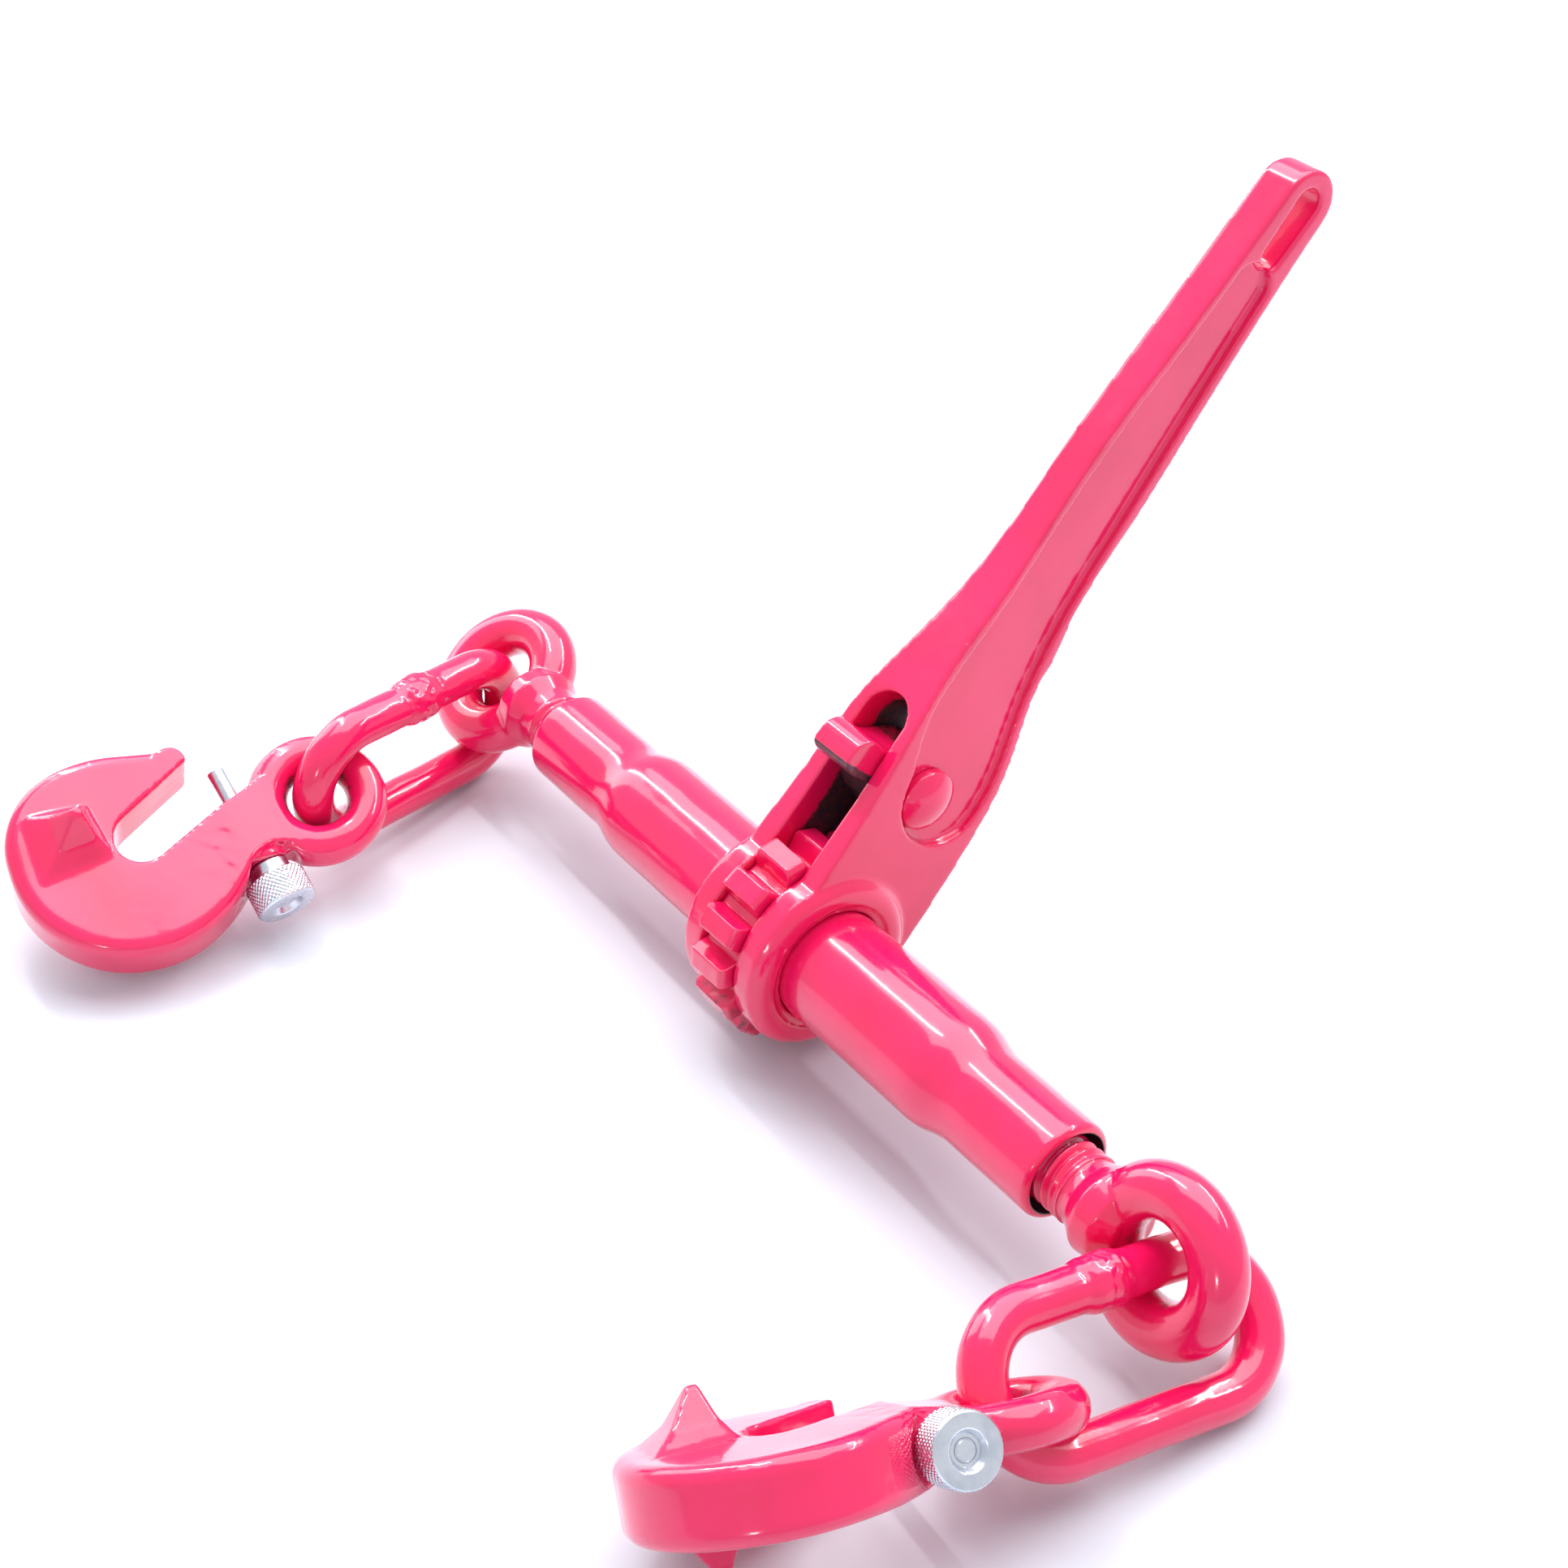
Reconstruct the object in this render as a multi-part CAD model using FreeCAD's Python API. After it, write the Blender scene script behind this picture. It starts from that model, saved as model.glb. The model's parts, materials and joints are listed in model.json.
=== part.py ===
"""Ratchet load binder with grab hooks, lying on its hooks with the handle raised (millimetres, +Z up).

The barrel lies along X. Handle pieces are drawn about the barrel axis with the handle along +Y, then
turned up by HANDLE_LIFT. Links and hooks are drawn in frames of their own and set down beside it.
"""
import FreeCAD, Part
import math
import os

from FreeCAD import Matrix, Placement, Rotation, Vector

# barrel
BARREL_LENGTH = 160.0
BARREL_MID_R = 11.6
BARREL_END_R = 9.8
TAPER_INNER = 47.0          # half-length of the thick middle
TAPER_OUTER = 57.0          # where the slim ends begin
LIP_ROUND = 1.4
COUNTERBORE_R = 8.4
COUNTERBORE_DEPTH = 5.0
NUT_START = 56.0            # inner end of the threaded stretch
HOLLOW_R = 7.8

# screws: drawn at the thread's crest radius, in a plain bore with running clearance
PITCH = 2.0
THREAD_R = 7.0
THREAD_CLEARANCE = 0.06
SCREW_INNER = 12.0
SCREW_OUTER = 84.0
STUB_R = 4.0
STOP_RING_R = 7.6
STOP_RING_WIDTH = 3.0

# eye of each screw
EYE_X = {"right": 105.0, "left": 105.6}
EYE_MEAN_R = 12.0
EYE_WIRE_R = 5.15
EYE_TURN = {"right": 72.5, "left": 35.4}      # degrees from +Y up to the eye's plane

# ratchet
TEETH = 14
GEAR_TIP_R = 20.8
GEAR_ROOT_R = 16.8
GEAR_HALF_WIDTH = 5.15
SLOT_HALF_WIDTH = 5.45
PAWL_HALF_WIDTH = 5.2

# handle
HANDLE_LIFT = 46.75
CHEEK_R = 18.3
BOSS_X = 12.4
BORE_GAP = 0.08
PIN_U = 36.0
PIN_R = 4.0
PIN_HEAD_R = 6.2
PIN_HEAD_X = 11.3
WINDOW_TOP = 44.5
TIP_U = 165.6
RECESS_DEPTH = 1.9
PLUNGER_R = 2.4
PLUNGER_NOSE = 44.4
PLUNGER_TAIL = 57.0
PLUNGER_HOLE_END = 66.0

# link
LINK_WIRE_R = 4.3
LINK_BOW_R = 12.15
LINK_HALF_STRAIGHT = 15.65

# hook
HOOK_HALF_THICK = 6.5
HOOK_EYE_MEAN_R = 10.2
HOOK_EYE_WIRE_R = 4.2
LOCK_P = 15.6
LOCK_PIN_R = 1.9
LOCK_BORE_R = 3.1
KNOB_R = 6.3
WING_HEIGHT = 15.0          # from the hook's middle plane
PIN_TAIL = -17.6
PIN_POINT = 14.8
BOSS_FACE = -8.6            # outer end of the boss the pin slides in
BUSH_INNER = -7.2
COLLAR_START = 4.6
LOCK_BORE_END = 6.0

# where the free pieces lie, measured from the middle of the barrel
LINK_POSE = {
    "right": (Vector(111.54, -14.11, -7.5), Vector(0.092, 0.984, -0.149), Vector(-0.757, 0.166, 0.632)),
    "left": (Vector(-101.1, -26.3, -3.9), Vector(-0.248, 0.964, -0.098), Vector(0.063, 0.117, 0.991)),
}
HOOK_POSE = {
    "right": (Vector(111.53, -40.35, -5.17), Vector(-0.195, -0.972, 0.133), Vector(-0.762, 0.065, -0.644)),
    "left": (Vector(-94.3, -52.35, -2.65), Vector(-0.064, -0.994, -0.092), Vector(-0.875, 0.011, 0.485)),
}

X, Y, Z = Vector(1, 0, 0), Vector(0, 1, 0), Vector(0, 0, 1)
LIFT = Placement(Vector(), Rotation(X, HANDLE_LIFT))


def box(low, high):
    size = [b - a for a, b in zip(low, high)]
    return Part.makeBox(*size, Vector(*low))


def rod(radius, start, end, axis=X, at=Vector()):
    return Part.makeCylinder(radius, end - start, at + axis * start, axis)


def spun(profile):
    """A solid of revolution about X from (x, radius) points."""
    points = [Vector(x, r, 0) for x, r in profile]
    return Part.Face(Part.makePolygon(points + points[:1])).revolve(Vector(), X, 360)


def placed(shape, placement):
    shape = shape.copy()
    shape.Placement = placement.multiply(shape.Placement)
    return shape


def frame_at(origin, first, second):
    """A placement whose X and Y axes follow two directions, made square to each other."""
    first = Vector(first).normalize()
    second = (second - first * second.dot(first)).normalize()
    third = first.cross(second)
    rows = [(first[i], second[i], third[i], origin[i]) for i in range(3)]
    return Placement(Matrix(*rows[0], *rows[1], *rows[2], 0, 0, 0, 1))


def mirrored(shape):
    return shape.mirror(Vector(), X)


def smooth(points):
    curve = Part.BSplineCurve()
    curve.interpolate([Vector(*p) for p in points])
    return curve.toShape()


def outline(*edges):
    return Part.Face(Part.Wire(Part.__sortEdges__(list(edges))))


# ---------------------------------------------------------------- barrel and screws

def make_barrel():
    half = BARREL_LENGTH / 2
    side = [
        (0, BARREL_MID_R), (TAPER_INNER, BARREL_MID_R), (TAPER_INNER + 3, BARREL_MID_R - 0.3),
        (TAPER_OUTER - 3, BARREL_END_R + 0.3), (TAPER_OUTER, BARREL_END_R), (half, BARREL_END_R),
    ]
    body = spun([(x, r) for x, r in side] + [(half, 0), (0, 0)])
    lip = [e for e in body.Edges if e.BoundBox.XMin > half - 0.01 and e.Length > 10]
    body = body.makeFillet(LIP_ROUND, lip)
    body = body.cut(rod(COUNTERBORE_R, half - COUNTERBORE_DEPTH, half + 1))
    body = body.cut(rod(HOLLOW_R, -1, NUT_START))
    body = body.cut(rod(THREAD_R + THREAD_CLEARANCE, NUT_START - 1, half))
    return body.fuse(mirrored(body)).removeSplitter()


def make_gear():
    """A toothed ring with chunky bevelled teeth; one tooth stands in line with the handle."""
    ring = rod(GEAR_ROOT_R, -GEAR_HALF_WIDTH, GEAR_HALF_WIDTH)
    top, foot = 2.1, 3.0
    tooth = [(GEAR_ROOT_R - 1, foot), (GEAR_TIP_R, top), (GEAR_TIP_R, -top), (GEAR_ROOT_R - 1, -foot)]
    points = [Vector(-GEAR_HALF_WIDTH, u, v) for u, v in tooth]
    solid = Part.Face(Part.makePolygon(points + points[:1])).extrude(X * (2 * GEAR_HALF_WIDTH))
    ends = [e for e in solid.Edges if e.BoundBox.XLength < 0.01 and e.BoundBox.YMin > GEAR_TIP_R - 0.01]
    solid = solid.makeChamfer(0.9, ends)
    for k in range(TEETH):
        ring = ring.fuse(placed(solid, Placement(Vector(), Rotation(X, k * 360.0 / TEETH))))
    return ring.cut(rod(BARREL_MID_R, -20, 20)).removeSplitter()


def make_eyebolt(side):
    screw = rod(THREAD_R, SCREW_INNER, SCREW_OUTER)
    stub_end = SCREW_INNER - STOP_RING_WIDTH - 0.8
    throat = EYE_X[side] - EYE_MEAN_R
    neck = spun([
        (SCREW_OUTER, 0), (SCREW_OUTER, 7.1), (SCREW_OUTER + 1.5, 6.6), (throat - 5.5, 7.2),
        (throat - 2.5, 9.0), (throat + 1.5, 8.4), (throat + 4.2, 5.0), (throat + 4.2, 0),
    ])
    eye = Part.makeTorus(EYE_MEAN_R, EYE_WIRE_R, Vector(EYE_X[side], 0, 0), Z)
    eye = placed(eye, Placement(Vector(), Rotation(X, EYE_TURN[side])))
    body = screw.fuse([neck, rod(STUB_R, stub_end, SCREW_INNER)]).fuse(eye)
    return body if side == "right" else mirrored(body)


def make_stop_ring(side):
    end = SCREW_INNER - 0.3
    ring = rod(STOP_RING_R, end - STOP_RING_WIDTH, end).cut(rod(STUB_R, 0, 20))
    return ring if side == "right" else mirrored(ring)


# ---------------------------------------------------------------- handle

FRONT = [(0, 14.6), (16, 14.2), (31, 14.0), (47, 14.2), (60, 12.8), (75, 10.6), (97, 10.1),
         (112, 10.0), (128, 8.8), (150, 7.5), (TIP_U, 6.7)]
BACK = [(0, -17.6), (18, -17.6), (32, -17.6), (42, -17.2), (56, -14.8), (67, -12.6), (71, -12.6),
        (76, -11.5), (98, -10.6), (119, -9.2), (140, -7.6), (TIP_U, -6.5)]
THICK = [(-30, 10.5), (-10, 10.5), (16, 10.4), (31, 9.7), (47, 8.3), (60, 6.2), (73, 5.1), (90, 4.3),
         (110, 4.0), (128, 4.1), (150, 4.3), (TIP_U, 4.3), (180, 4.3)]


def side_prism(front, back, tip_edges):
    """A solid with the given side view, along X, wide enough to cross the whole handle."""
    edges = [smooth([(0, u, v) for u, v in front]), smooth([(0, u, v) for u, v in back])] + tip_edges
    return placed(outline(*edges).extrude(X * 40), Placement(Vector(-20, 0, 0), Rotation()))


def thickness_prism(shrink):
    """A solid with the handle's edge-on view, its half-thickness reduced by shrink."""
    right = smooth([(t - shrink, u, 0) for u, t in THICK])
    left = smooth([(shrink - t, u, 0) for u, t in THICK])
    ends = [Part.makeLine(Vector(shrink - t, u, 0), Vector(t - shrink, u, 0)) for u, t in (THICK[0], THICK[-1])]
    return placed(outline(right, left, *ends).extrude(Z * 80), Placement(Vector(0, 0, -40), Rotation()))


def handle_blank():
    low = Part.makeLine(Vector(0, 0, BACK[0][1]), Vector(0, 0, FRONT[0][1]))
    tip = Part.Arc(Vector(0, TIP_U, FRONT[-1][1]), Vector(0, TIP_U + 6.9, 0.1), Vector(0, TIP_U, BACK[-1][1]))
    blank = side_prism(FRONT, BACK, [low, tip.toShape()]).common(thickness_prism(0))
    disc = rod(CHEEK_R, -10.5, 10.5)
    boss = rod(CHEEK_R, -BOSS_X, BOSS_X)
    rims = [e for e in boss.Edges if e.Length > 10 and e.BoundBox.XLength < 0.01]
    return blank.fuse([disc, boss.makeFillet(3.4, rims)]).removeSplitter()


def side_recess():
    """The sunk web on both faces, from below the pin up to the slot at the tip."""
    front = [(34, 6.6), (40, 8.4), (47, 11.0), (60, 10.2), (75, 8.2), (97, 7.7), (112, 7.6), (128, 6.4), (149, 5.2)]
    back = [(34, -13.6), (42, -14.4), (56, -12.2), (67, -10.2), (76, -9.0), (98, -8.1), (119, -6.7), (149, -4.6)]
    foot = Part.Arc(Vector(0, 34, 6.6), Vector(0, 28.2, -4.6), Vector(0, 34, -13.6)).toShape()
    head = Part.Arc(Vector(0, 149, 5.2), Vector(0, 152.5, 0.2), Vector(0, 149, -4.6)).toShape()
    return side_prism(front, back, [foot, head]).cut(thickness_prism(RECESS_DEPTH))


def tip_slot():
    low = rod(2.6, -20, 20, at=Vector(0, 154.5, 0.2))
    high = rod(3.0, -20, 20, at=Vector(0, 166.0, 0.1))
    middle = [Vector(-20, 154.5, 2.8), Vector(-20, 166, 3.1), Vector(-20, 166, -2.9), Vector(-20, 154.5, -2.4)]
    return Part.Face(Part.makePolygon(middle + middle[:1])).extrude(X * 40).fuse([low, high])


def make_pawl_pin():
    """A rivet through both cheeks and the pawl, with a domed head at each end."""
    seat = 7.2
    rise = PIN_HEAD_X - seat - 1.8
    dome_r = (PIN_HEAD_R ** 2 + rise ** 2) / (2 * rise)
    dome = Part.makeSphere(dome_r, Vector(PIN_HEAD_X - dome_r, PIN_U, 0))
    dome = dome.fuse(rod(PIN_HEAD_R, 0, seat + 1.8, at=Y * PIN_U))
    head = rod(PIN_HEAD_R, seat, PIN_HEAD_X + 1, at=Y * PIN_U).common(dome)
    return rod(PIN_R, -seat, seat, at=Y * PIN_U).fuse([head, mirrored(head)]).removeSplitter()


def make_handle(pin):
    wide = SLOT_HALF_WIDTH
    handle = handle_blank().cut(side_recess()).cut(tip_slot())
    slot = box((-wide, -30, -30), (wide, WINDOW_TOP, 30)).fuse(rod(wide, -30, 30, axis=Z, at=Y * WINDOW_TOP))
    handle = handle.cut(slot)
    handle = handle.cut(rod(BARREL_MID_R + BORE_GAP, -20, 20))
    handle = handle.cut(rod(13.4, BOSS_X - 0.8, 20)).cut(rod(13.4, -20, 0.8 - BOSS_X))
    handle = handle.cut(rod(PLUNGER_R + 0.05, WINDOW_TOP, PLUNGER_HOLE_END, axis=Y))
    return handle.cut(pin)


def polar(rho, angle):
    """A point of the pawl, from the pin's centre; 0 degrees points at the barrel."""
    a = math.radians(angle)
    return Vector(-PAWL_HALF_WIDTH, PIN_U - rho * math.cos(a), rho * math.sin(a))


def make_pawl():
    """The pawl: a round hub with a claw at the back and a thumb tab at the front."""
    across = X * (2 * PAWL_HALF_WIDTH)
    hub = rod(8.0, -PAWL_HALF_WIDTH, PAWL_HALF_WIDTH, at=Y * PIN_U)
    claw = [polar(*p) for p in ((7.6, 12), (11.2, -6), (18.0, -26), (17.2, -34), (7.6, -80))]
    body = hub.fuse(Part.Face(Part.makePolygon(claw + claw[:1])).extrude(across))
    top = [(5, 44.0), (10, 41.3), (14.5, 40.2), (17.8, 40.6), (19.8, 39.8), (21.3, 36.8)]
    under = [(21.3, 36.8), (20.7, 34.0), (18.2, 33.0), (13.5, 33.0), (9.5, 31.2), (6.5, 29.5)]
    edge = [smooth([(-PAWL_HALF_WIDTH, u, v) for v, u in run]) for run in (top, under)]
    inner = Part.makeLine(Vector(-PAWL_HALF_WIDTH, 44.0, 5), Vector(-PAWL_HALF_WIDTH, 29.5, 6.5))
    tab = outline(*edge, inner).extrude(across)
    body = body.fuse(tab)
    return body.cut(rod(PIN_R + 0.05, -20, 20, at=Y * PIN_U)).removeSplitter()


def sleeve(outer, wall, start, end, at=Vector()):
    """The room a coil spring takes up, as a thin tube along Y."""
    return rod(outer, start, end, axis=Y, at=at).cut(rod(outer - wall, start - 1, end + 1, axis=Y, at=at))


def make_plunger():
    nose = Part.makeSphere(PLUNGER_R, Y * (PLUNGER_NOSE + PLUNGER_R))
    return rod(PLUNGER_R, PLUNGER_NOSE + PLUNGER_R, PLUNGER_TAIL, axis=Y).fuse(nose).removeSplitter()


def make_plunger_spring():
    return sleeve(2.2, 0.7, PLUNGER_TAIL, PLUNGER_HOLE_END)


# ---------------------------------------------------------------- link

def make_link():
    """A welded chain link lying in its own XY plane, long way along X, with a weld collar on one leg."""
    s, r = LINK_HALF_STRAIGHT, LINK_BOW_R
    bow = Part.makeTorus(r, LINK_WIRE_R, X * s, Z).common(box((s, -40, -10), (80, 40, 10)))
    legs = [rod(LINK_WIRE_R, -s, s, at=Y * (sign * r)) for sign in (1, -1)]
    weld = spun([(-5.2, 0), (-5.2, 4.2), (-2.8, 5.0), (2.2, 5.05), (4.8, 4.2), (4.8, 0)])
    weld = placed(weld, Placement(Vector(0, r, 0), Rotation()))
    return bow.fuse([mirrored(bow)] + legs + [weld]).removeSplitter()


# ---------------------------------------------------------------- hook: X along the shank, Y to the point

BEND = (38.5, 5.5)
BEND_R = 24.0
SLOT_ANGLE = 160.0          # direction in which the throat opens
SLOT_END = (35.8, 5.6)
SLOT_HALF = 5.6
SHOULDER = [(19.6, -10.6), (15.8, -7.4), (12.6, -6.6), (8.0, -9.2)]
POINT_BACK = [(58.2, 19.6), (52.6, 24.4), (44.5, 26.4), (36.4, 25.6), (29.0, 23.0), (23.8, 21.4)]


def on_bend(angle):
    a = math.radians(angle)
    return Vector(BEND[0] + BEND_R * math.cos(a), BEND[1] + BEND_R * math.sin(a), 0)


def hook_outline():
    """Shank, bend and point in the hook's plane, without the eye."""
    slot = Vector(math.cos(math.radians(SLOT_ANGLE)), math.sin(math.radians(SLOT_ANGLE)), 0)
    across = Vector(-slot.y, slot.x, 0) * SLOT_HALF
    end = Vector(*SLOT_END, 0)
    low, high = Vector(8.0, -9.2, 0), Vector(8.0, 8.6, 0)
    inner, outer = Vector(20.8, 17.2, 0), Vector(*POINT_BACK[-1], 0)
    back = [on_bend(12)] + [Vector(*p, 0) for p in POINT_BACK]
    heel = [on_bend(-114), Vector(24.6, -14.4, 0)] + [Vector(*p, 0) for p in SHOULDER]
    return outline(
        Part.makeLine(low, high), Part.makeLine(high, end + across),
        Part.Arc(end + across, end - slot * SLOT_HALF, end - across).toShape(),
        Part.makeLine(end - across, inner), Part.Arc(inner, Vector(21.3, 19.9, 0), outer).toShape(),
        smooth(back), Part.Arc(on_bend(12), on_bend(-50), on_bend(-114)).toShape(), smooth(heel),
    )


def wing(sign):
    """The cradle on one face: a three-sided horn that steadies the chain beside the throat."""
    foot = [(42.2, 3.5), (58.4, 3.5), (56.0, 19.5), (42.6, 16.5)]
    peak = [(45.6, 11.2), (47.4, 11.4), (47.4, 13.0), (45.4, 13.2)]
    waist = [(p + 0.56 * (a - p), q + 0.56 * (b - q)) for (p, q), (a, b) in zip(foot, peak)]
    heights = (2.0, 0.9 * HOOK_HALF_THICK, HOOK_HALF_THICK + 2.9, WING_HEIGHT)
    rings = [[Vector(p, q, h * sign) for p, q in ring] for ring, h in zip((foot, foot, waist, peak), heights)]
    return Part.makeLoft([Part.Wire(Part.makePolygon(ring + ring[:1])) for ring in rings], True, True)


def make_hook():
    thick = HOOK_HALF_THICK
    body = placed(hook_outline().extrude(Z * (2 * thick)), Placement(Z * -thick, Rotation()))
    rims = [e for e in body.Edges if e.BoundBox.ZLength < 0.01 and e.Length > 18
            and (e.BoundBox.XMax > 55 or e.BoundBox.YMin < -8)]
    body = body.makeFillet(2.6, rims)
    edge = [(4, 3.8), (9.5, 4.3), (18.5, thick), (70, thick)]
    edge = [Vector(p, -40, w) for p, w in edge + [(p, -w) for p, w in reversed(edge)]]
    body = body.common(Part.Face(Part.makePolygon(edge + edge[:1])).extrude(Y * 80))
    eye = Part.makeTorus(HOOK_EYE_MEAN_R, HOOK_EYE_WIRE_R, Vector(), Z)
    collar = rod(HOOK_EYE_MEAN_R + 3.0, -3.4, 3.4, axis=Z).cut(rod(HOOK_EYE_MEAN_R - 2.6, -9, 9, axis=Z))
    body = body.fuse([eye, collar, lock_rod(4.7, BOSS_FACE, 0), wing(1), wing(-1)])
    body = body.cut(rod(HOOK_EYE_MEAN_R - HOOK_EYE_WIRE_R, -20, 20, axis=Z))
    body = body.cut(lock_rod(KNOB_R + 0.4, -30, BOSS_FACE)).cut(lock_rod(LOCK_PIN_R + 0.05, -30, 30))
    return body.cut(lock_rod(LOCK_BORE_R, -30, LOCK_BORE_END)).removeSplitter()


def lock_rod(radius, start, end):
    return rod(radius, start, end, axis=Y, at=Vector(LOCK_P, 0, 0))


def make_lock_pin():
    """The sliding pin with its collar; its point stands out across the throat."""
    tip = lock_rod(LOCK_PIN_R, PIN_TAIL, PIN_POINT)
    ends = [e for e in tip.Edges if e.BoundBox.YLength < 0.01 and e.Length > 5]
    return tip.makeChamfer(0.35, ends).fuse(lock_rod(LOCK_BORE_R - 0.1, COLLAR_START, LOCK_BORE_END - 0.1)).removeSplitter()


def make_lock_bush():
    return lock_rod(LOCK_BORE_R, BOSS_FACE, BUSH_INNER).cut(lock_rod(LOCK_PIN_R + 0.06, -20, 20))


def make_lock_spring():
    return sleeve(2.9, 0.6, BUSH_INNER, COLLAR_START, Vector(LOCK_P, 0, 0))


def make_lock_knob():
    """A plain hub towards the hook and a wide rim with a sunk centre at the outer end."""
    body = lock_rod(4.4, -11.8, BOSS_FACE - 0.1).fuse(lock_rod(KNOB_R, -18.4, -11.8))
    rims = [e for e in body.Edges if e.Length > 35 and e.BoundBox.YLength < 0.01]
    body = body.makeChamfer(0.5, rims)
    sink = Part.makeCone(3.2, 2.4, 1.2, Vector(LOCK_P, -18.4, 0), Y)
    return body.cut(sink).cut(lock_rod(LOCK_PIN_R, -30, 30)).removeSplitter()


# ---------------------------------------------------------------- everything in one frame

def assembled():
    """Every piece in the frame of the barrel's middle, by node name."""
    pin = make_pawl_pin()
    nodes = {
        "handle": placed(make_handle(pin), LIFT),
        "pawl_pin": placed(pin, LIFT),
        "pawl": placed(make_pawl(), LIFT),
        "plunger": placed(make_plunger(), LIFT),
        "plunger_spring": placed(make_plunger_spring(), LIFT),
        "barrel": make_barrel(),
        "ratchet_gear": placed(make_gear(), LIFT),
    }
    link, hook = make_link(), make_hook()
    lock = {"lock_pin": make_lock_pin(), "lock_bush": make_lock_bush(),
            "lock_spring": make_lock_spring(), "lock_knob": make_lock_knob()}
    for side in ("left", "right"):
        nodes["eyebolt_" + side] = make_eyebolt(side)
        nodes["stop_ring_" + side] = make_stop_ring(side)
        nodes["link_" + side] = placed(link, frame_at(*LINK_POSE[side]))
        on_hook = frame_at(*HOOK_POSE[side])
        nodes["hook_" + side] = placed(hook, on_hook)
        for name, shape in lock.items():
            nodes[name + "_" + side] = placed(shape, on_hook)
    return nodes


def ground_shift(nodes):
    """The move that puts the origin under the middle of the whole binder, on the floor."""
    whole = Part.makeCompound(list(nodes.values())).optimalBoundingBox(False, False)
    return Vector(-whole.Center.x, -whole.Center.y, -whole.ZMin)


NODES = assembled()
SHIFT = ground_shift(NODES)


def main():
    os.makedirs("parts", exist_ok=True)
    for name, shape in NODES.items():
        solid = placed(shape, Placement(SHIFT, Rotation()))
        solid.exportStep("parts/" + name + ".step")
        print(name, len(solid.Solids), solid.isValid(), round(solid.Volume, 1))


if __name__ == "__main__":
    main()
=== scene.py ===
"""Looks for the ratchet load binder: rounded forgings under thick red paint, real threads and knurls.

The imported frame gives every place. The three local frames used here (handle, hooks, screws) are read
from its joints, and lengths are in millimetres until they reach a mesh.
"""
import json
import math

import bmesh
import bpy
import numpy as np
from mathutils import Matrix, Vector, noise

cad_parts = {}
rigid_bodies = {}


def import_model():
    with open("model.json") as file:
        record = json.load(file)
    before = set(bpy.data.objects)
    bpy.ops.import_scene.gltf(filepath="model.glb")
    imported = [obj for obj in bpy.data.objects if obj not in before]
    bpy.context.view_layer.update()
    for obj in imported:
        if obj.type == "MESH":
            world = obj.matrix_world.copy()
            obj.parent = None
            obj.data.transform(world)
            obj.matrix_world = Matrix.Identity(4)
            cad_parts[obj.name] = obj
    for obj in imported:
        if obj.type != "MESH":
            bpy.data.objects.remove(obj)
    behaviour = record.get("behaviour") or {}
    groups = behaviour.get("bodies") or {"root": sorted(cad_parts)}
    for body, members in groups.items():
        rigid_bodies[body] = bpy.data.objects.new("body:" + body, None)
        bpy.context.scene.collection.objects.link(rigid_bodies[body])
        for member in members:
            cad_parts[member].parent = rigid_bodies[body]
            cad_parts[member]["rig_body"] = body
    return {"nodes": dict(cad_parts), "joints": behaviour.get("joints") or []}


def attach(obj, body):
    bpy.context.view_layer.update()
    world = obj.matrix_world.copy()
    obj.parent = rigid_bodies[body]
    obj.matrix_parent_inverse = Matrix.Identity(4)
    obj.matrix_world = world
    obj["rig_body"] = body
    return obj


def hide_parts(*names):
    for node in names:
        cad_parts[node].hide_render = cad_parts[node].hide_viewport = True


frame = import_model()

MM = 0.001
NODES = frame["nodes"]
JOINTS = {j["name"]: j for j in frame["joints"]}
SIDES = ("left", "right")
X = Vector((1, 0, 0))

# camera, measured from the middle of the barrel
CAMERA_AT = Vector((327.77, -240.12, 338.54)) * MM
CAMERA_RIGHT = Vector((0.587, 0.809, 0.0))
CAMERA_DOWN = Vector((0.484, -0.351, -0.802))
LENS = 63.35

# paint and metal
RED = (0.78, 0.007, 0.100, 1)
DEEP_RED = (0.70, 0.005, 0.078, 1)
# dark steel colour, which also stands in as painted shade where the vertex layer asks for it
BARE_STEEL_AND_SHADE = (0.075, 0.038, 0.060, 1)
RUST = (0.16, 0.05, 0.03, 1)
ZINC = (0.74, 0.77, 0.82, 1)

# shapes that the CAD frame simplifies
PITCH = 2.0
CREST_R = 7.0
THREAD_DEPTH = 1.05
SCREW_INNER = 12.0
SCREW_OUTER = 84.0
EYE_MEAN_R = 12.0
EYE_MIDDLE = 105.3
PIN_ALONG = 15.6
KNURLS = 38
KNURL_DEPTH = 0.3

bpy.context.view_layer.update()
CENTRE = Vector(JOINTS["barrel_spin"]["pos_m"])
HANDLE_U = Vector(JOINTS["plunger_slide"]["axis"])
HANDLE_V = X.cross(HANDLE_U)


# ---------------------------------------------------------------- materials

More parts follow.
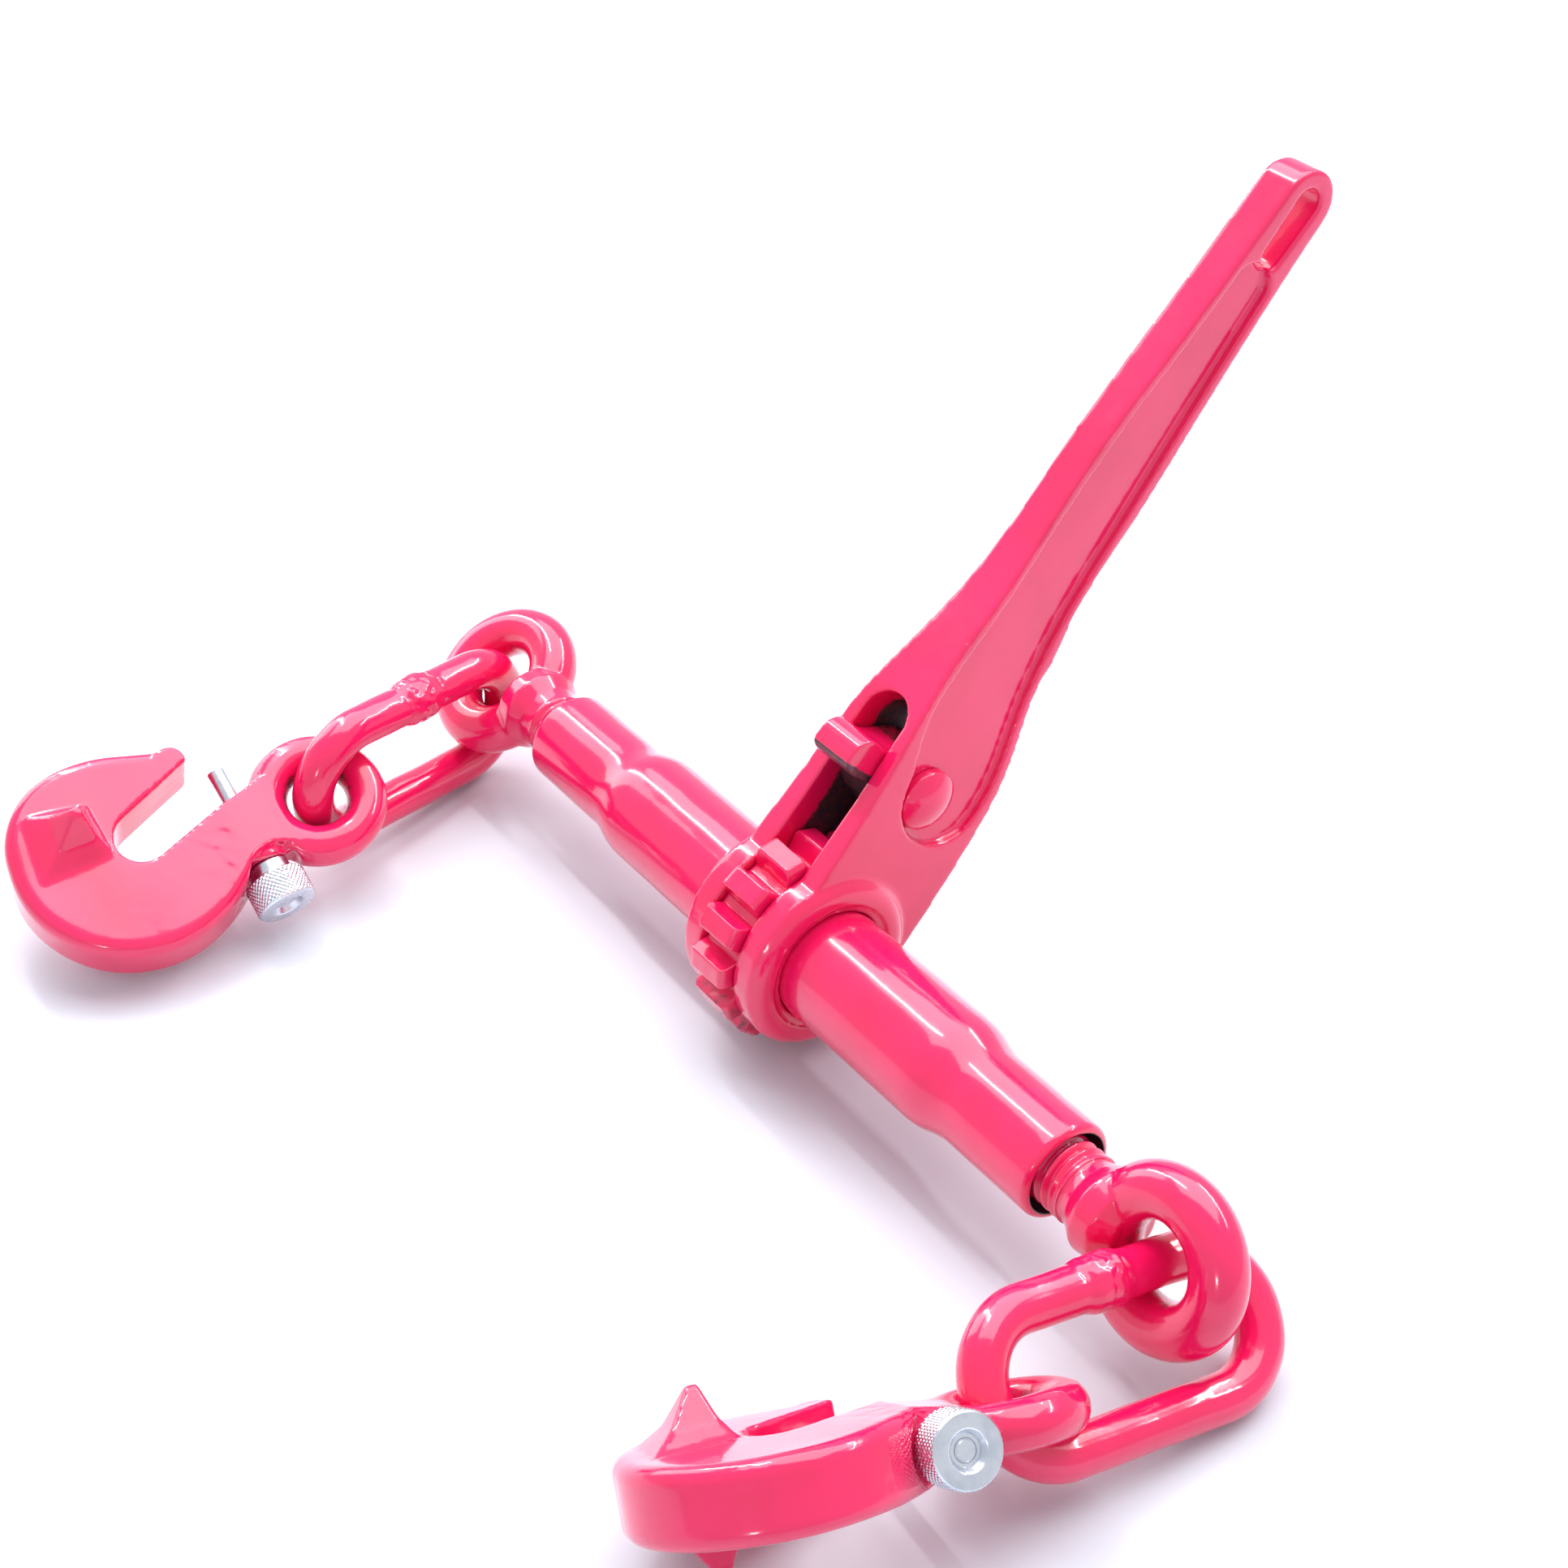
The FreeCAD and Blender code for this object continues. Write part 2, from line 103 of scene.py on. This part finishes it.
class Shader:
    """A node material with short ways to add nodes and links."""

    def __init__(self, name):
        self.material = bpy.data.materials.new(name)
        self.material.use_nodes = True
        self.tree = self.material.node_tree
        self.surface = self.tree.nodes["Principled BSDF"]
        self.place = self.add("ShaderNodeTexCoord").outputs["Object"]

    def add(self, kind, **settings):
        node = self.tree.nodes.new(kind)
        for key, value in settings.items():
            setattr(node, key, value)
        return node

    def link(self, source, target):
        self.tree.links.new(source, target)

    def noise(self, scale, detail=3.0, roughness=0.55):
        node = self.add("ShaderNodeTexNoise")
        node.inputs["Scale"].default_value = scale
        node.inputs["Detail"].default_value = detail
        node.inputs["Roughness"].default_value = roughness
        self.link(self.place, node.inputs["Vector"])
        return node.outputs["Fac"]

    def steps(self, value, low, high):
        """0 below low, 1 above high, smooth between."""
        node = self.add("ShaderNodeMapRange", interpolation_type="SMOOTHSTEP")
        node.inputs["From Min"].default_value = low
        node.inputs["From Max"].default_value = high
        self.link(value, node.inputs["Value"])
        return node.outputs["Result"]

    def scaled(self, value, low, high):
        node = self.add("ShaderNodeMapRange")
        node.inputs["To Min"].default_value = low
        node.inputs["To Max"].default_value = high
        self.link(value, node.inputs["Value"])
        return node.outputs["Result"]

    def math(self, operation, a, b):
        node = self.add("ShaderNodeMath", operation=operation)
        for socket, value in zip(node.inputs, (a, b)):
            if isinstance(value, float):
                socket.default_value = value
            else:
                self.link(value, socket)
        return node.outputs[0]

    def mix(self, factor, a, b):
        node = self.add("ShaderNodeMix", data_type="RGBA")
        self.link(factor, node.inputs["Factor"])
        for socket, value in ((node.inputs[6], a), (node.inputs[7], b)):
            if isinstance(value, tuple):
                socket.default_value = value
            else:
                self.link(value, socket)
        return node.outputs[2]

    def bump(self, height, distance, strength=1.0, under=None):
        node = self.add("ShaderNodeBump")
        node.inputs["Distance"].default_value = distance * MM
        node.inputs["Strength"].default_value = strength
        self.link(height, node.inputs["Height"])
        if under is not None:
            self.link(under, node.inputs["Normal"])
        return node.outputs["Normal"]


def paint(name, forging=0.07, chips=0.79):
    """Thick glossy red over steel; a vertex layer says where the coat is thin or gone, and also where dark
    steel is put as painted shade.
    """
    s = Shader(name)
    pooled = s.steps(s.noise(55.0, 4.0), 0.35, 0.75)
    coat = s.mix(pooled, RED, DEEP_RED)
    bare_and_shade = s.add("ShaderNodeAttribute", attribute_name="bare_and_shade").outputs["Fac"]
    ragged = s.math("ADD", bare_and_shade, s.scaled(s.noise(420.0, 5.0, 0.7), -0.35, 0.35))
    chip = s.steps(s.noise(260.0, 6.0, 0.75), chips, chips + 0.03)
    # where the layer is high the coat gives way to dark steel: worn paint in some places, painted shade in
    # others
    missing_and_shaded = s.math("MAXIMUM", s.steps(ragged, 0.4, 0.62), chip)
    steel = s.mix(s.steps(s.noise(700.0, 5.0), 0.45, 0.7), BARE_STEEL_AND_SHADE, RUST)
    s.link(s.mix(missing_and_shaded, coat, steel), s.surface.inputs["Base Color"])
    s.link(s.math("ADD", s.scaled(missing_and_shaded, 0.16, 0.5), s.scaled(s.noise(300.0), -0.05, 0.07)),
           s.surface.inputs["Roughness"])
    s.link(s.scaled(missing_and_shaded, 0.0, 0.55), s.surface.inputs["Metallic"])
    s.surface.inputs["Specular IOR Level"].default_value = 0.5
    s.surface.inputs["Coat Weight"].default_value = 0.6
    s.surface.inputs["Coat Roughness"].default_value = 0.03
    rolling = s.bump(s.noise(150.0, 2.0), forging, 0.6)
    peel = s.bump(s.noise(900.0, 2.0), 0.03, 0.35, rolling)
    s.link(s.bump(missing_and_shaded, -0.08, 0.5, peel), s.surface.inputs["Normal"])
    s.link(rolling, s.surface.inputs["Coat Normal"])
    return s.material


def plated(name):
    """Bright zinc with slight clouding and fine handling marks."""
    s = Shader(name)
    cloud = s.steps(s.noise(240.0, 4.0), 0.35, 0.7)
    s.link(s.mix(cloud, ZINC, (0.60, 0.64, 0.72, 1)), s.surface.inputs["Base Color"])
    s.link(s.scaled(s.noise(800.0, 4.0), 0.16, 0.36), s.surface.inputs["Roughness"])
    s.surface.inputs["Metallic"].default_value = 1.0
    s.link(s.bump(s.noise(1500.0, 3.0), 0.02, 0.5), s.surface.inputs["Normal"])
    return s.material


def dark_steel(name):
    """Bare dark steel for hidden parts."""
    s = Shader(name)
    s.link(s.mix(s.noise(500.0, 4.0), BARE_STEEL_AND_SHADE, (0.20, 0.17, 0.19, 1)), s.surface.inputs["Base Color"])
    s.link(s.scaled(s.noise(900.0), 0.3, 0.55), s.surface.inputs["Roughness"])
    s.surface.inputs["Metallic"].default_value = 0.9
    s.link(s.bump(s.noise(1800.0, 3.0), 0.03, 0.5), s.surface.inputs["Normal"])
    return s.material


def plain(name, colour, rough):
    """A nearly even matt surface."""
    s = Shader(name)
    speck = s.steps(s.noise(90.0, 3.0), 0.3, 0.8)
    s.link(s.mix(speck, colour, tuple(0.985 * c for c in colour[:3]) + (1,)), s.surface.inputs["Base Color"])
    s.surface.inputs["Roughness"].default_value = rough
    return s.material


# ---------------------------------------------------------------- mesh helpers

def add_mesh(name, mesh):
    obj = bpy.data.objects.new(name, mesh)
    bpy.context.scene.collection.objects.link(obj)
    return obj


def points_of(mesh):
    """Vertex places of a mesh, in metres."""
    flat = np.empty(len(mesh.vertices) * 3)
    mesh.vertices.foreach_get("co", flat)
    return flat.reshape(-1, 3)


def normals_of(mesh):
    """Vertex normals of a mesh."""
    flat = np.empty(len(mesh.vertices) * 3)
    mesh.vertices.foreach_get("normal", flat)
    return flat.reshape(-1, 3)


def smoothstep(low, high, value):
    """0 at low, 1 at high, smooth between; low may be the larger."""
    t = np.clip((value - low) / (high - low), 0, 1)
    return t * t * (3 - 2 * t)


def rounded(node, voxel=0.4, rounds=6):
    """A copy of a CAD piece with its edges run over, as forging and a thick coat leave them."""
    source = add_mesh(node + "_source", NODES[node].data.copy())
    remesh = source.modifiers.new("even", "REMESH")
    remesh.mode, remesh.voxel_size, remesh.use_smooth_shade = "VOXEL", voxel * MM, True
    relax = source.modifiers.new("relax", "SMOOTH")
    relax.factor, relax.iterations = 0.5, rounds
    evaluated = source.evaluated_get(bpy.context.evaluated_depsgraph_get())
    mesh = bpy.data.meshes.new_from_object(evaluated)
    bpy.data.objects.remove(source)
    mesh.materials.clear()
    return add_mesh(node + "_forged", mesh)


def stir(obj, depth, size, share=1.0):
    """Small random hollows and swells along the normals, of a size in millimetres."""
    points, normals = points_of(obj.data), normals_of(obj.data)
    scale = 1 / (size * MM)
    lift = np.array([noise.noise(Vector(p) * scale) for p in points])
    points += normals * (lift * depth * MM * share)[:, None]
    obj.data.vertices.foreach_set("co", points.ravel())
    obj.data.update()


def mark_bare_and_shade(obj, values):
    """Writes the vertex layer that the paint reads: thin and worn paint, and painted shade."""
    layer = obj.data.attributes.new("bare_and_shade", "FLOAT", "POINT")
    layer.data.foreach_set("value", np.asarray(values, np.float32))


def swept(name, rings, closed=True):
    """A tube of quads through equal rings of points, in order."""
    count = len(rings[0])
    verts = [tuple(p) for ring in rings for p in ring]
    pairs = [(i, i + 1) for i in range(len(rings) - 1)] + ([(len(rings) - 1, 0)] if closed else [])
    faces = [(a * count + k, a * count + (k + 1) % count, b * count + (k + 1) % count, b * count + k)
             for a, b in pairs for k in range(count)]
    mesh = bpy.data.meshes.new(name)
    mesh.from_pydata(verts, [], faces)
    work = bmesh.new()
    work.from_mesh(mesh)
    bmesh.ops.recalc_face_normals(work, faces=work.faces)
    work.to_mesh(mesh)
    work.free()
    mesh.shade_smooth()
    return mesh


def fine(profile, step):
    """The same closed profile with extra points, so that no side is longer than step."""
    out = []
    for (s0, r0), (s1, r1) in zip(profile, profile[1:] + profile[:1]):
        parts = max(1, math.ceil(math.hypot(s1 - s0, r1 - r0) / step))
        out += [(s0 + (s1 - s0) * k / parts, r0 + (r1 - r0) * k / parts) for k in range(parts)]
    return out


def turned(name, profile, origin, axis, up, radius=lambda s, r, turn: r, steps=144):
    """A solid of revolution from (along, radius) points; radius may vary with the turn."""
    side = axis.cross(up)
    rings = []
    for s, r in profile:
        ring = []
        for k in range(steps):
            turn = 2 * math.pi * k / steps
            reach = radius(s, r, turn) * MM
            ring.append(origin + axis * (s * MM) + (up * math.cos(turn) + side * math.sin(turn)) * reach)
        rings.append(ring)
    mesh = swept(name, rings)
    mesh.set_sharp_from_angle(angle=math.radians(38))
    return mesh


def fit_out(obj, node, material):
    """Puts a finished piece in the place of its CAD node."""
    obj.data.materials.append(material)
    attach(obj, NODES[node]["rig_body"])
    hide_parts(node)


def joined(obj, mesh):
    """Adds another mesh to a piece."""
    work = bmesh.new()
    work.from_mesh(obj.data)
    work.from_mesh(mesh)
    work.to_mesh(obj.data)
    work.free()
    bpy.data.meshes.remove(mesh)


# ---------------------------------------------------------------- the pieces

def handle_frame(points):
    """(x, u, v) in millimetres: across, along the handle, and towards its front."""
    local = (points - np.array(CENTRE)) / MM
    return local[:, 0], local @ np.array(HANDLE_U), local @ np.array(HANDLE_V)


def dress_handle(red):
    obj = rounded("handle", 0.42, 8)
    stir(obj, 0.15, 16)
    x, u, v = handle_frame(points_of(obj.data))
    # painted shade: inside the fork between the cheeks, a recess where shade falls, the coat gives way to
    # dark steel
    inside = smoothstep(5.9, 5.5, np.abs(x)) * smoothstep(52, 49, u)
    depth = smoothstep(12.0, 7.0, v) * smoothstep(-17, -12, v)
    ring = smoothstep(13.6, 13.0, np.hypot(u, v)) * smoothstep(10.5, 11.3, np.abs(x))
    mark_bare_and_shade(obj, np.maximum(0.75 * inside * depth, 0.32 * ring))
    fit_out(obj, "handle", red)


def dress_pin(red):
    obj = rounded("pawl_pin", 0.25, 4)
    mark_bare_and_shade(obj, np.zeros(len(obj.data.vertices)))
    fit_out(obj, "pawl_pin", red)


def dress_pawl(red):
    obj = rounded("pawl", 0.28, 5)
    _, u, v = handle_frame(points_of(obj.data))
    # dark steel from just below the pin towards the gear; the second term is painted shade, dark steel over
    # the pawl's underside towards the handle's back
    under = smoothstep(35.5, 33.8, u) + smoothstep(11.0, 8.0, v) * 0.55
    mark_bare_and_shade(obj, np.clip(under, 0, 0.9))
    fit_out(obj, "pawl", red)


def dress_gear(red):
    obj = rounded("ratchet_gear", 0.3, 3)
    stir(obj, 0.12, 3)
    points = points_of(obj.data)
    local = (points - np.array(CENTRE)) / MM
    # painted shade: the teeth get more dark steel the lower they sit, darker towards the bottom; the even
    # 0.20 gives random chips
    low = smoothstep(6.0, -6.0, local[:, 2]) * smoothstep(-20.0, -16.0, local[:, 2])
    mark_bare_and_shade(obj, 0.20 + 0.27 * low)
    fit_out(obj, "ratchet_gear", red)


def dress_barrel(red):
    """The tube: thick middle, tapers, slim ends with a rolled lip and a counterbore."""
    end, slim, roll = 80.0, 9.8, 1.4
    lip = [(end - roll + roll * math.sin(a), slim - roll + roll * math.cos(a))
           for a in np.linspace(0, math.pi / 2, 8)]
    half = [(47.0, 11.6), (48.5, 11.5), (50.5, 11.2), (53.5, 10.35), (55.5, 9.95), (57.0, 9.8)] + lip
    half += [(80.0, 8.55), (79.85, 8.4), (75.0, 8.4), (75.0, 7.06), (56.0, 7.06), (56.0, 7.8)]
    profile = [(-s, r) for s, r in reversed(half)] + half
    mesh = turned("barrel_tube", fine(profile, 2.5), CENTRE, X, Vector((0, 0, 1)))
    obj = add_mesh("barrel_tube", mesh)
    stir(obj, 0.05, 6)
    local = (points_of(obj.data) - np.array(CENTRE)) / MM
    reach = np.hypot(local[:, 1], local[:, 2])
    mark_bare_and_shade(obj, 0.95 * smoothstep(8.7, 8.3, reach) + 0.12)
    fit_out(obj, "barrel", red)


def thread(side):
    """The screw's helical thread with worn round crests, right-hand on the right."""
    sign = 1 if side == "right" else -1
    steps, rise = 72, PITCH / 12
    span = SCREW_OUTER + 1 - SCREW_INNER
    rings = []
    for k in range(int(span / rise) + 1):
        s = SCREW_INNER + k * rise
        edge = min(1.0, (s - SCREW_INNER + 0.05) / 1.2, (SCREW_OUTER + 1.05 - s) / 2.5)
        ring = []
        for i in range(steps):
            turn = 2 * math.pi * i / steps
            wave = 0.5 + 0.5 * math.cos(2 * math.pi * s / PITCH - sign * turn)
            reach = (CREST_R - THREAD_DEPTH * (1 - wave ** 0.75) * edge) * MM
            out = Vector((0, math.cos(turn), math.sin(turn) * sign))
            ring.append(CENTRE + X * (sign * s * MM) + out * reach)
        rings.append(ring)
    first, last = ([CENTRE + X * (sign * s * MM)] * steps for s in (SCREW_INNER, SCREW_OUTER))
    return swept("thread_" + side, [first] + rings + [last], closed=False)


def dress_eyebolt(side, red):
    """The forged eye, with a true thread in place of the plain screw."""
    node = "eyebolt_" + side
    sign = 1 if side == "right" else -1
    obj = rounded(node, 0.36, 7)
    work = bmesh.new()
    work.from_mesh(obj.data)
    cut = CENTRE + X * (sign * (SCREW_OUTER + 0.4) * MM)
    geometry = work.verts[:] + work.edges[:] + work.faces[:]
    bmesh.ops.bisect_plane(work, geom=geometry, plane_co=cut, plane_no=X * sign, clear_inner=True)
    work.to_mesh(obj.data)
    work.free()
    stir(obj, 0.16, 12)
    joined(obj, thread(side))
    obj.data.shade_smooth()
    local = (points_of(obj.data) - np.array(CENTRE)) / MM
    far = np.abs(local[:, 0])
    reach = np.hypot(far - EYE_MIDDLE, np.hypot(local[:, 1], local[:, 2]))
    ring = np.abs(reach - EYE_MEAN_R)
    throat = smoothstep(9.6, 7.6, reach)
    hidden = smoothstep(76.0, 74.0, far)
    mark_bare_and_shade(obj, np.maximum(0.42 * throat * (ring > 3.4), 0.8 * hidden))
    fit_out(obj, node, red)


def weld_place(node):
    """The middle of a link's welded leg, which is its upper one."""
    points = points_of(NODES[node].data)
    middle = points.mean(0)
    across = np.linalg.svd(points - middle, full_matrices=False)[2][1]
    return middle + across * math.copysign(12.4 * MM, across[2])


def dress_link(side, red):
    """The round-wire link with its weld flash."""
    node = "link_" + side
    obj = rounded(node, 0.32, 6)
    stir(obj, 0.14, 7)
    weld = weld_place(node)
    near = smoothstep(7.5, 4.5, np.linalg.norm(points_of(obj.data) - weld, axis=1) / MM)
    stir(obj, 0.38, 2.2, near)
    stir(obj, 0.18, 1.2, near)
    mark_bare_and_shade(obj, 0.05 + 0.12 * near)
    fit_out(obj, node, red)


def hook_axes(side):
    """The hook's origin in its eye, and its shank, throat and face directions."""
    face = Vector(JOINTS["hook_%s_swing" % side]["axis"])
    across = -Vector(JOINTS["lock_%s_pull" % side]["axis"])
    return Vector(JOINTS["hook_%s_swing" % side]["pos_m"]), across.cross(face), across, face


def dress_hook(side, red):
    """The forged hook, worn in its eye and round the pin."""
    node = "hook_" + side
    obj = rounded(node, 0.42, 12)
    stir(obj, 0.2, 14)
    origin, shank, across, face = hook_axes(side)
    local = (points_of(obj.data) - np.array(origin)) / MM
    p, q, w = (local @ np.array(a) for a in (shank, across, face))
    reach = np.hypot(p, q)
    eye = smoothstep(8.6, 6.6, reach) * 0.5
    pin = smoothstep(4.0, 2.6, np.hypot(p - PIN_ALONG, w)) * 0.7
    stir(obj, 0.07, 2.4, smoothstep(5, 12, p) * smoothstep(34, 20, p))
    mark_bare_and_shade(obj, np.maximum(eye, pin))
    fit_out(obj, node, red)


def knurl(s, r, turn):
    """Diamond knurling on the outer wall of the knob."""
    depth = KNURL_DEPTH * min(1.0, max(0.0, (r - 6.05) / 0.25))
    slant = (s + 15.0) / 6.3
    ridges = abs(math.sin(KNURLS / 2 * (turn + slant))) * abs(math.sin(KNURLS / 2 * (turn - slant)))
    return r - depth * (1 - ridges ** 0.7)


def dress_knob(side, zinc):
    """The pull knob: plain hub, knurled rim, sunk face round the peened end of the pin."""
    node = "lock_knob_" + side
    origin, shank, across, _ = hook_axes(side)
    profile = [(-8.7, 1.95), (-8.7, 3.9), (-9.2, 4.35), (-11.7, 4.35), (-11.8, 5.7), (-12.3, 6.3),
               (-17.9, 6.3), (-18.4, 5.8), (-18.4, 3.5), (-18.25, 3.25), (-17.2, 2.5), (-17.2, 1.95)]
    middle = origin + shank * (PIN_ALONG * MM)
    mesh = turned("knob_" + side, fine(profile, 0.14), middle, across, shank, knurl, 304)
    obj = add_mesh("knob_" + side, mesh)
    fit_out(obj, node, zinc)


def dress_all():
    """Builds every replaced piece and gives the rest their materials."""
    red, tube = paint("forged_red"), paint("tube_red", forging=0.05, chips=0.8)
    gear, pawl = paint("gear_red", chips=0.68), paint("pawl_red", chips=0.74)
    zinc, steel = plated("zinc"), dark_steel("dark_steel")
    dress_handle(red)
    dress_pin(red)
    dress_pawl(pawl)
    dress_gear(gear)
    dress_barrel(tube)
    for side in SIDES:
        dress_eyebolt(side, red)
        dress_link(side, red)
        dress_hook(side, red)
        dress_knob(side, zinc)
    looks = {"plunger": steel, "plunger_spring": steel, "stop_ring_left": steel, "stop_ring_right": steel}
    for side in SIDES:
        for part in ("lock_pin_", "lock_bush_", "lock_spring_"):
            looks[part + side] = zinc
    for node, material in looks.items():
        NODES[node].data.materials.clear()
        NODES[node].data.materials.append(material)


# ---------------------------------------------------------------- stage, light and camera

def lamp(name, at, aim, size, radiance, shape="RECTANGLE"):
    """An area light of a given brightness per unit area, aimed at a point."""
    data = bpy.data.lights.new(name, "AREA")
    data.shape, data.size, data.size_y = shape, size[0], size[1]
    data.energy = radiance * math.pi * size[0] * size[1]
    data.color = (1.0, 0.985, 1.0)
    obj = bpy.data.objects.new(name, data)
    obj.location = at
    obj.rotation_euler = (Vector(aim) - Vector(at)).to_track_quat("-Z", "Y").to_euler()
    bpy.context.scene.collection.objects.link(obj)


def set_stage():
    """The floor, the world and the lamps."""
    bpy.ops.mesh.primitive_plane_add(size=6.0, location=(0, 0, -0.0002))
    floor = bpy.context.object
    floor.name = "floor"
    floor.data.materials.append(plain("paper", (0.62, 0.66, 0.72, 1), 0.7))
    world = bpy.data.worlds.new("studio")
    bpy.context.scene.world = world
    world.use_nodes = True
    world.node_tree.nodes["Background"].inputs["Color"].default_value = (0.93, 0.95, 1.0, 1)
    world.node_tree.nodes["Background"].inputs["Strength"].default_value = 0.85
    lamp("overhead", (-0.25, 0.35, 1.15), (0, 0, 0), (1.5, 1.2), 3.3)
    lamp("left_window", (-1.1, -0.2, 0.55), (0, 0, 0.05), (0.5, 0.9), 3.2)
    lamp("strip_back", (0.1, 0.75, 0.75), (0, 0, 0.05), (0.9, 0.04), 30.0)
    lamp("strip_side", (-0.7, 0.02, 0.8), (0, 0, 0.05), (0.04, 0.9), 45.0)
    lamp("low_box", (0.75, -0.85, 0.30), (0.05, -0.05, 0.02), (0.10, 0.10), 20.0)
    bpy.context.scene.view_settings.view_transform = "Standard"


def set_camera():
    """The camera at the photograph's angle."""
    data = bpy.data.cameras.new("camera")
    data.lens, data.sensor_width = LENS, 36.0
    data.clip_start, data.clip_end = 0.01, 20.0
    camera = bpy.data.objects.new("camera", data)
    right, down = CAMERA_RIGHT.normalized(), CAMERA_DOWN.normalized()
    back = right.cross(-down)
    turn = Matrix((right, -down, back)).transposed().to_4x4()
    camera.matrix_world = Matrix.Translation(CENTRE + CAMERA_AT) @ turn
    bpy.context.scene.collection.objects.link(camera)
    bpy.context.scene.camera = camera


dress_all()
set_stage()
set_camera()
